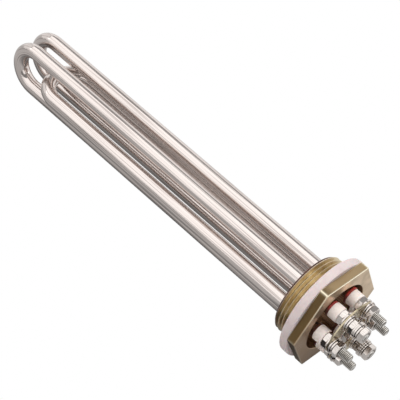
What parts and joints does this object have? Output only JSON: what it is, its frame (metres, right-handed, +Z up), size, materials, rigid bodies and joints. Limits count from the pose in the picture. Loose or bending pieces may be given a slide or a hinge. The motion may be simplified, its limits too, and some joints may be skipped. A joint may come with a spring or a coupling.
{
  "type": "screw plug immersion heater",
  "caption": "Hexagonal brass screw plug with nested U-bent tubular heating elements, a sealing gasket and ceramic-insulated screw terminals.",
  "frame": {"origin": "on the plug's axis, in the sealing plane where the gasket meets the tank boss", "axes": "+X along the plug's axis into the tank, towards the bends; +Z up, square to two flats of the head"},
  "size_m": [0.2649, 0.0632, 0.0606],
  "materials": {
    "plug_brass": "machined, lightly dulled",
    "gasket_rubber": "smooth white rubber",
    "sheath_steel": "polished stainless tube",
    "magnesia": "pressed powder",
    "heating_wire": "oxidised resistance wire",
    "stud_steel": "threaded, bright",
    "seal_silicone": "red silicone",
    "insulator_ceramic": "fine unglazed ceramic",
    "link_brass": "nickel-washed sheet",
    "plated_fasteners": "nickel plated"
  },
  "bodies": {
    "root": {"base_nuts": "plated_fasteners", "base_washers": "plated_fasteners", "clamp_nuts": "plated_fasteners", "clamp_spring_washers": "plated_fasteners", "clamp_washers": "plated_fasteners", "end_seal_1": "seal_silicone", "end_seal_2": "seal_silicone", "end_seal_3": "seal_silicone", "end_seal_4": "seal_silicone", "end_seal_5": "seal_silicone", "end_seal_6": "seal_silicone", "gasket": "gasket_rubber", "insulator_1": "insulator_ceramic", "insulator_2": "insulator_ceramic", "insulator_3": "insulator_ceramic", "insulator_4": "insulator_ceramic", "insulator_5": "insulator_ceramic", "insulator_6": "insulator_ceramic", "lead_nuts": "plated_fasteners", "lead_spring_washers": "plated_fasteners", "lead_washers": "plated_fasteners", "link_plate_front": "link_brass", "link_plate_rear": "link_brass", "powder_fill_a": "magnesia", "powder_fill_b": "magnesia", "powder_fill_c": "magnesia", "screw_plug": "plug_brass", "sheath_a": "sheath_steel", "sheath_b": "sheath_steel", "sheath_c": "sheath_steel", "terminal_pin_1": "stud_steel", "terminal_pin_2": "stud_steel", "terminal_pin_3": "stud_steel", "terminal_pin_4": "stud_steel", "terminal_pin_5": "stud_steel", "terminal_pin_6": "stud_steel", "wire_coil_a": "heating_wire", "wire_coil_b": "heating_wire", "wire_coil_c": "heating_wire"}
  },
  "joints": []
}
